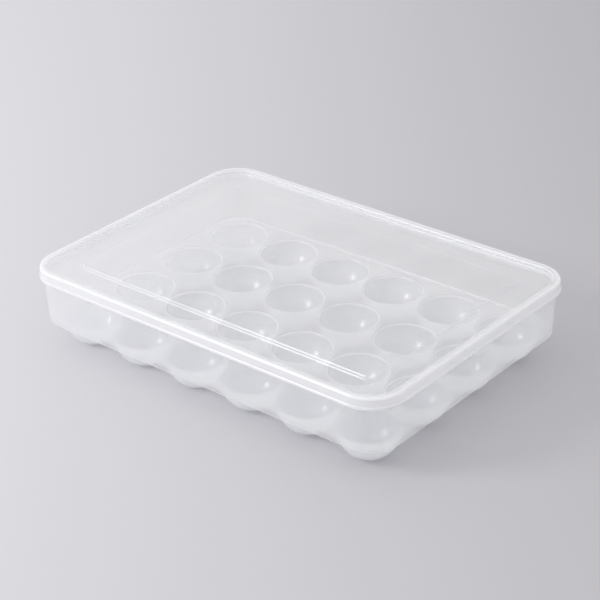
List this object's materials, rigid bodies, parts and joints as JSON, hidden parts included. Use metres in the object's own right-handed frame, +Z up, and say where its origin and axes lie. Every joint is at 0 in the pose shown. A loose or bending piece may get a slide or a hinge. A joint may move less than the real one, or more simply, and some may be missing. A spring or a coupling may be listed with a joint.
{
  "type": "egg keeper with lift-off lid",
  "caption": "Clear plastic egg keeper: a shallow tray with round bowls for eggs, closed by a lift-off lid with a raised rim and lift tabs.",
  "frame": {"origin": "middle of the footprint, on the surface that the feet of the cups stand on", "axes": "+X along the long side, +Y towards the back long side, +Z up"},
  "size_m": [0.32, 0.23, 0.0645],
  "materials": {
    "tray_plastic": "milky clear polypropylene, satin",
    "lid_plastic": "milky clear polypropylene, a little glossier than the tray"
  },
  "bodies": {
    "tray": {"tray_wall": "tray_plastic", "egg_cup_a1": "tray_plastic", "egg_cup_a2": "tray_plastic", "egg_cup_a3": "tray_plastic", "egg_cup_a4": "tray_plastic", "egg_cup_a5": "tray_plastic", "egg_cup_a6": "tray_plastic", "egg_cup_b1": "tray_plastic", "egg_cup_b2": "tray_plastic", "egg_cup_b3": "tray_plastic", "egg_cup_b4": "tray_plastic", "egg_cup_b5": "tray_plastic", "egg_cup_b6": "tray_plastic", "egg_cup_c1": "tray_plastic", "egg_cup_c2": "tray_plastic", "egg_cup_c3": "tray_plastic", "egg_cup_c4": "tray_plastic", "egg_cup_c5": "tray_plastic", "egg_cup_c6": "tray_plastic", "egg_cup_d1": "tray_plastic", "egg_cup_d2": "tray_plastic", "egg_cup_d3": "tray_plastic", "egg_cup_d4": "tray_plastic", "egg_cup_d5": "tray_plastic", "egg_cup_d6": "tray_plastic"},
    "lid": {"lid_rim": "lid_plastic", "lid_panel": "lid_plastic", "lift_tab_left": "lid_plastic", "lift_tab_right": "lid_plastic"}
  },
  "joints": [
    {"name": "lid_lift", "type": "slide", "parent": "tray", "child": "lid", "axis": [0, 0, 1], "range_m": [0, 0.08]}
  ]
}
